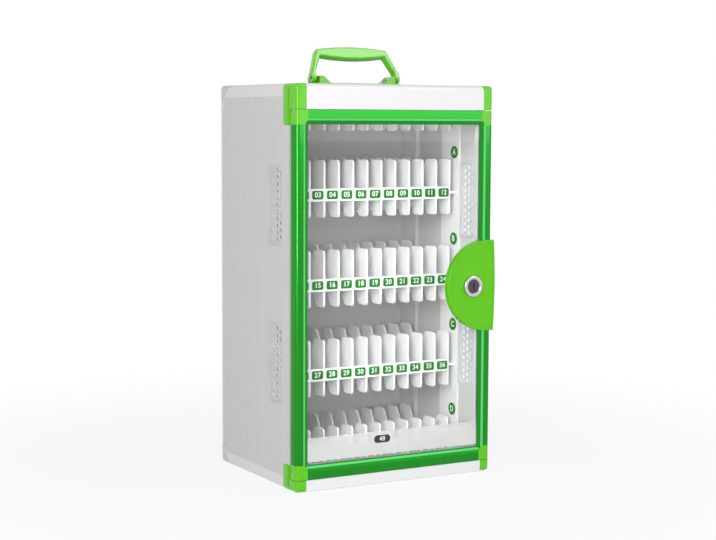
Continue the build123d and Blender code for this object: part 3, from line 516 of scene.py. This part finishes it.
# ---- Operators ----------------------------------------------------------------------------------
class LOCKER_OT_case(bpy.types.Operator):
    """Finish the panels, rails, edges, posts, jambs, grilles and corner caps of the case"""
    bl_idname = "locker.case"
    bl_label = "Case"

    def execute(self, context):
        look = context.scene.locker_finish
        dress(powder_coat("panel_coat", look.panel, 0.45), "top_panel", "base_panel")
        dress(ribbed_coat("side_coat", look.panel, 0.4), *sides("{}_side_panel"))
        dress(powder_coat("back_coat", look.back, 0.55), "back_panel")
        dress(extruded_satin("rail_lacquer", look.rail, along=0, metallic=0.0),
              "top_front_rail", "bottom_front_rail")
        dress(extruded_satin("edge_satin", look.edge, along=1),
              *sides("{}_top_edge"), *sides("{}_bottom_edge"))
        dress(extruded_satin("post_satin", look.edge, along=2), *sides("{}_rear_post"))
        dress(extruded_satin("rear_rail_satin", look.edge, along=0), "rear_rails")
        dress(powder_coat("jamb_coat", look.jamb), "front_jambs", "jamb_lips")
        dress(powder_coat("post_coat", look.rail), *sides("{}_inner_post"))
        dress(moulded("rear_cap_plastic", look.cap, 0.45), "rear_corner_caps")
        dress(moulded("grille_plastic", look.vent, 0.45), "vent_grilles")
        dress(moulded("corner_cap_plastic", look.lime, 0.3, coat=0.5),
              *sides("case_cap_top_{}"), *sides("case_cap_bottom_{}"),
              *sides("door_cap_top_{}"), *sides("door_cap_bottom_{}"))
        return {"FINISHED"}


class LOCKER_OT_rack(bpy.types.Operator):
    """Finish the boards, dividers and number strips"""
    bl_idname = "locker.rack"
    bl_label = "Phone rack"

    def execute(self, context):
        look = context.scene.locker_finish
        boards = [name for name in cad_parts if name.startswith(("shelf_board_", "dividers_"))]
        strips = [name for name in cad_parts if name.startswith("number_strip_")]
        dress(moulded("rack_plastic", look.rack, 0.4), *boards)
        dress(moulded("strip_plastic", look.rack, 0.25, depth=0.006 * MM), *strips)
        return {"FINISHED"}


class LOCKER_OT_door(bpy.types.Operator):
    """Finish the door's frame, clear panel, glazing beads and hinge pins"""
    bl_idname = "locker.door"
    bl_label = "Door"

    def execute(self, context):
        look = context.scene.locker_finish
        outline = (
            (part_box("hinge_stile")[0].x, 0.0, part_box("door_bottom_rail")[0].z),
            (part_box("lock_stile")[1].x, 0.0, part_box("door_top_rail")[1].z),
        )
        for name, along, inset, nodes in (
            ("stile_anodised", 2, PAINTED_HIGHLIGHT_INSET, ("hinge_stile", "lock_stile")),
            ("top_rail_anodised", 0, PAINTED_HIGHLIGHT_INSET, ("door_top_rail",)),
            # the bottom rail's slope faces up, so its painted highlight is set further in
            ("bottom_rail_anodised", 0, LOW_PAINTED_HIGHLIGHT_INSET, ("door_bottom_rail",)),
        ):
            profile = anodised_profile(name, look.green, look.ridge, along, outline, inset)
            dress(profile, *nodes)
        dress(clear_acrylic("clear_acrylic"), "door_panel")
        dress(moulded("bead_plastic", look.bead, 0.4), "glazing_beads")
        dress(plated("pin_steel", look.hinge_pin, 0.28), "hinge_pins")
        return {"FINISHED"}


class LOCKER_OT_lock(bpy.types.Operator):
    """Finish the lock's plate, barrel, plug, nut, cam and screw"""
    bl_idname = "locker.lock"
    bl_label = "Lock"

    def execute(self, context):
        look = context.scene.locker_finish
        dress(moulded("lock_plate_plastic", look.lime, 0.3, coat=0.3), "lock_plate")
        dress(plated("lock_chrome", look.barrel, 0.12), "lock_barrel")
        # dark nickel, darkened further as painted shade of its recess in the barrel's face
        dress(plated("plug_nickel", look.plug, 0.3), "lock_plug")
        dress(plated("nut_brass", look.nut, 0.3), "lock_nut")
        dress(plated("cam_zinc", look.cam, 0.35), "lock_cam", "cam_screw")
        return {"FINISHED"}


class LOCKER_OT_handle(bpy.types.Operator):
    """Finish the carrying handle, its base, pins and screws"""
    bl_idname = "locker.handle"
    bl_label = "Carrying handle"

    def execute(self, context):
        look = context.scene.locker_finish
        dress(moulded("handle_plastic", look.handle, 0.22, coat=0.8), "handle_bail", "handle_base")
        # steel pins, darkened as painted shade of the gaps at the lugs
        dress(plated("handle_pin_steel", look.handle_pin, 0.35), "handle_pins")
        dress(plated("screw_zinc", look.screw, 0.4), "handle_screws")
        return {"FINISHED"}


class LOCKER_OT_number_tags(bpy.types.Operator):
    """Put a numbered tag in front of every slot, one piece for each row"""
    bl_idname = "locker.number_tags"
    bl_label = "Number tags"

    def execute(self, context):
        tag = context.scene.locker_tags
        plate_finish = moulded("tag_plastic", tag.plate, 0.3, depth=0.004 * MM)
        digit_finish = moulded("digit_paint", tag.digit, 0.45, depth=0.004 * MM)
        for row in range(1, len(ROW_LETTERS) + 1):
            low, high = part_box(f"number_strip_{row}")
            pitch = (high.x - low.x) / SLOTS_PER_ROW
            level = (low.z + high.z) / 2
            first = Vector((low.x + pitch / 2, low.y - tag.thickness / 2, level))
            plate = soften(slab((tag.width, tag.thickness, tag.height), first, tag.corner))
            paint(plate, plate_finish)
            pieces = [plate]
            pieces += [copy_to(plate, (pitch * slot, 0, 0)) for slot in range(1, SLOTS_PER_ROW)]
            for slot in range(SLOTS_PER_ROW):
                number = (row - 1) * SLOTS_PER_ROW + slot + 1
                place = first + Vector((pitch * slot, -tag.thickness / 2, 0))
                digits = lettering(f"{number:02d}", tag.digit_size, place, FACING_FRONT)
                pieces.append(paint(digits, digit_finish))
            tags = join(pieces, f"number_tags_{row}")
            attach(tags, "case")
        return {"FINISHED"}


class LOCKER_OT_row_badges(bpy.types.Operator):
    """Put a round lettered badge beside every row, on the right-hand post"""
    bl_idname = "locker.row_badges"
    bl_label = "Row badges"

    def execute(self, context):
        badge = context.scene.locker_badges
        tag = context.scene.locker_tags
        plate_finish = moulded("badge_plastic", tag.plate, 0.3, depth=0.004 * MM)
        letter_finish = moulded("letter_paint", tag.digit, 0.45, depth=0.004 * MM)
        post_low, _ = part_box("right_inner_post")
        for row, letter in enumerate(ROW_LETTERS, start=1):
            low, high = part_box(f"number_strip_{row}")
            level = (low.z + high.z) / 2 + badge.rise
            centre = Vector((post_low.x - badge.thickness / 2, post_low.y + badge.setback, level))
            start_clean()
            bpy.ops.mesh.primitive_cylinder_add(
                vertices=BADGE_SIDES, radius=badge.radius, depth=badge.thickness,
                location=centre, rotation=(0.0, radians(90), 0.0),
            )
            disc = soften(settle(bpy.context.view_layer.objects.active))
            place = centre - Vector((badge.thickness / 2, 0, 0))
            sign = lettering(letter, badge.letter_size, place, FACING_LEFT)
            pieces = [paint(disc, plate_finish), paint(sign, letter_finish)]
            whole = join(pieces, f"row_badge_{letter}")
            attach(whole, "case")
        return {"FINISHED"}


class LOCKER_OT_printed_band(bpy.types.Operator):
    """Print a white band and the number of slots low on the clear panel"""
    bl_idname = "locker.printed_band"
    bl_label = "Printed band"

    def execute(self, context):
        band = context.scene.locker_band
        left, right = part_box("hinge_stile")[1].x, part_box("lock_stile")[0].x
        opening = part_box("door_bottom_rail")[1].z
        foot, top = opening + band.rise, opening + band.height
        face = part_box("door_panel")[0].y
        centre = Vector(((left + right) / 2, face - band.thickness / 2, (foot + top) / 2))
        film = slab((right - left, band.thickness, top - foot), centre, FILM_CORNER, 2)
        opacities = (band.foot_opacity, band.top_opacity)
        paint(film, printed_film("band_print", band.white, (foot, top), opacities))
        film.name = "printed_band"
        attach(film, "door")
        along, level = left + band.count_along, opening + band.count_rise
        self.print_count(band, Vector((along, face - band.thickness, level)))
        return {"FINISHED"}

    def print_count(self, band, place):
        """Print the number of slots in white on a dark oval, on the face of the band."""
        centre = place - Vector((0, band.thickness / 2, 0))
        size = (band.count_width, band.thickness, band.count_height)
        oval = slab(size, centre, NEARLY_HALF * band.count_height, 8)
        paint(oval, moulded("count_ink", band.ink, 0.35, depth=0.002 * MM))
        face = place - Vector((0, band.thickness, 0))
        slots = str(SLOTS_PER_ROW * len(ROW_LETTERS))
        figures = lettering(slots, band.count_size, face, FACING_FRONT, band.thickness)
        paint(figures, moulded("count_figures", band.figures, 0.35, depth=0.002 * MM))
        count = join([oval, figures], "slot_count")
        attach(count, "door")


class LOCKER_OT_studio(bpy.types.Operator):
    """Set the floor, the light and the camera"""
    bl_idname = "locker.studio"
    bl_label = "Studio"

    def execute(self, context):
        studio = context.scene.locker_studio
        add_floor(studio)
        add_world(studio)
        for name, power, place, width, height in LAMPS:
            add_lamp(name, getattr(studio, power), place, width, height)
        add_camera(context.scene)
        context.scene.view_settings.view_transform = "Standard"
        return {"FINISHED"}


# ---- Studio -------------------------------------------------------------------------------------
FLOOR_RADIUS = 6.0
FLOOR_SIDES = 96
SHADOW_REACH = (0.25, 0.9)      # distances between which the floor's shadow fades out
FLOOR_GLOW = 0.85               # share of plain white in the floor under the box

LIGHT_TARGET = (0.0, 0.0, 0.25)     # the middle of the box, which every lamp faces
LAMPS = (                           # name, its setting, place, width, height
    ("key_light", "key_power", (-1.33, -1.57, 0.8), 0.7, 1.5),
    ("strip_light", "strip_power", (-1.95, -0.75, 0.45), 0.09, 1.2),
    ("fill_light", "fill_power", (1.07, -1.92, 0.62), 1.0, 0.5),
    ("top_light", "top_power", (0.85, -1.0, 1.6), 0.7, 0.5),
)

CAMERA_PLACE = (-0.95842, -1.71392, 0.42523)
CAMERA_YAW = 29.3503            # degrees to the right of straight ahead
CAMERA_PITCH = -5.3018
CAMERA_ROLL = 0.2376
CAMERA_LENS = 80.965            # millimetres, on a 36 mm sensor
CAMERA_CLIP = 10 * MM


def add_floor(studio):
    """Lay a pale floor that keeps the box's shadow near it and is white further out."""
    start_clean()
    bpy.ops.mesh.primitive_circle_add(
        vertices=FLOOR_SIDES, radius=FLOOR_RADIUS, fill_type="NGON",
    )
    floor = bpy.context.view_layer.objects.active
    floor.name = "studio_floor"
    recipe = Recipe("floor_paper", studio.floor, 0.6)
    recipe.mottle(recipe.noise(40 * MM, detail=3.0), 0.01)
    tree = recipe.tree
    distance = tree.nodes.new("ShaderNodeVectorMath")
    distance.operation = "LENGTH"
    tree.links.new(recipe.place, distance.inputs[0])
    glow = spread(tree, distance.outputs["Value"], SHADOW_REACH, (FLOOR_GLOW, 1.0), "SMOOTHSTEP")
    share = work_out(tree, "MULTIPLY", glow, seen_directly(tree))
    white = tree.nodes.new("ShaderNodeEmission")
    show_two(tree, share, recipe.shader.outputs["BSDF"], white.outputs["Emission"])
    paint(floor, recipe.material)


def seen_directly(tree):
    """1 for rays from the camera, and for those mirrored or passed on by the object."""
    ray = tree.nodes.new("ShaderNodeLightPath").outputs
    passed_on = work_out(tree, "MAXIMUM", ray["Is Glossy Ray"], ray["Is Transmission Ray"])
    return work_out(tree, "MAXIMUM", ray["Is Camera Ray"], passed_on)


def add_world(studio):
    """Light the box evenly from all round, before a white background."""
    world = bpy.data.worlds.new("studio_world")
    world.use_nodes = True
    tree = world.node_tree
    background = tree.nodes["Background"].inputs
    background["Color"].default_value = (1.0, 1.0, 1.0, 1.0)
    strength = spread(tree, seen_directly(tree), (0.0, 1.0), (studio.ambient, 1.0))
    tree.links.new(strength, background["Strength"])
    bpy.context.scene.world = world


def add_lamp(name, power, place, width, height):
    """Add a soft rectangular lamp that faces the box."""
    start_clean()
    bpy.ops.object.light_add(type="AREA", location=place)
    lamp = bpy.context.view_layer.objects.active
    lamp.name = name
    lamp.data.shape = "RECTANGLE"
    lamp.data.size = width
    lamp.data.size_y = height
    lamp.data.energy = power
    aim = Vector(LIGHT_TARGET) - Vector(place)
    lamp.rotation_euler = aim.to_track_quat("-Z", "Y").to_euler()


def add_camera(scene):
    """Stand the camera where the photograph was taken from."""
    yaw, pitch, roll = (radians(angle) for angle in (CAMERA_YAW, CAMERA_PITCH, CAMERA_ROLL))
    ahead = Vector((sin(yaw) * cos(pitch), cos(yaw) * cos(pitch), sin(pitch)))
    right = Vector((cos(yaw), -sin(yaw), 0.0))
    up = right.cross(ahead)
    tilted_right = cos(roll) * right + sin(roll) * up
    tilted_up = cos(roll) * up - sin(roll) * right
    start_clean()
    bpy.ops.object.camera_add(location=CAMERA_PLACE)
    camera = bpy.context.view_layer.objects.active
    camera.name = "photo_camera"
    camera.matrix_world = Matrix.Translation(CAMERA_PLACE) @ Matrix(
        (tilted_right, tilted_up, -ahead)
    ).transposed().to_4x4()
    camera.data.lens = CAMERA_LENS
    camera.data.clip_start = CAMERA_CLIP
    scene.camera = camera


# ---- Sidebar and registration -------------------------------------------------------------------
class LOCKER_PT_panel(bpy.types.Panel):
    """The operators and their settings, in the sidebar"""
    bl_idname = "LOCKER_PT_panel"
    bl_label = "Phone locker"
    bl_space_type = "VIEW_3D"
    bl_region_type = "UI"
    bl_category = "Locker"

    def draw(self, context):
        column = self.layout.column()
        for operator in OPERATORS:
            column.operator(operator.bl_idname)
        for name, settings in SETTINGS.items():
            box = self.layout.box()
            box.label(text=name.replace("_", " ").capitalize())
            group = getattr(context.scene, name)
            for key in settings.__annotations__:
                box.prop(group, key)


SETTINGS = {
    "locker_finish": LockerFinishSettings,
    "locker_tags": LockerTagSettings,
    "locker_badges": LockerBadgeSettings,
    "locker_band": LockerBandSettings,
    "locker_studio": LockerStudioSettings,
}
OPERATORS = (
    LOCKER_OT_case,
    LOCKER_OT_rack,
    LOCKER_OT_door,
    LOCKER_OT_lock,
    LOCKER_OT_handle,
    LOCKER_OT_number_tags,
    LOCKER_OT_row_badges,
    LOCKER_OT_printed_band,
    LOCKER_OT_studio,
)


def register():
    """Add the settings, the operators and the panel."""
    for name, settings in SETTINGS.items():
        bpy.utils.register_class(settings)
        setattr(bpy.types.Scene, name, bpy.props.PointerProperty(type=settings))
    for operator in OPERATORS:
        bpy.utils.register_class(operator)
    bpy.utils.register_class(LOCKER_PT_panel)


def unregister():
    """Take them away again."""
    bpy.utils.unregister_class(LOCKER_PT_panel)
    for operator in reversed(OPERATORS):
        bpy.utils.unregister_class(operator)
    for name, settings in SETTINGS.items():
        delattr(bpy.types.Scene, name)
        bpy.utils.unregister_class(settings)


def main():
    """Dress the box and set the studio."""
    register()
    bpy.ops.locker.case()
    bpy.ops.locker.rack()
    bpy.ops.locker.door()
    bpy.ops.locker.lock()
    bpy.ops.locker.handle()
    bpy.ops.locker.number_tags()
    bpy.ops.locker.row_badges()
    bpy.ops.locker.printed_band()
    bpy.ops.locker.studio()


if __name__ == "__main__":
    main()
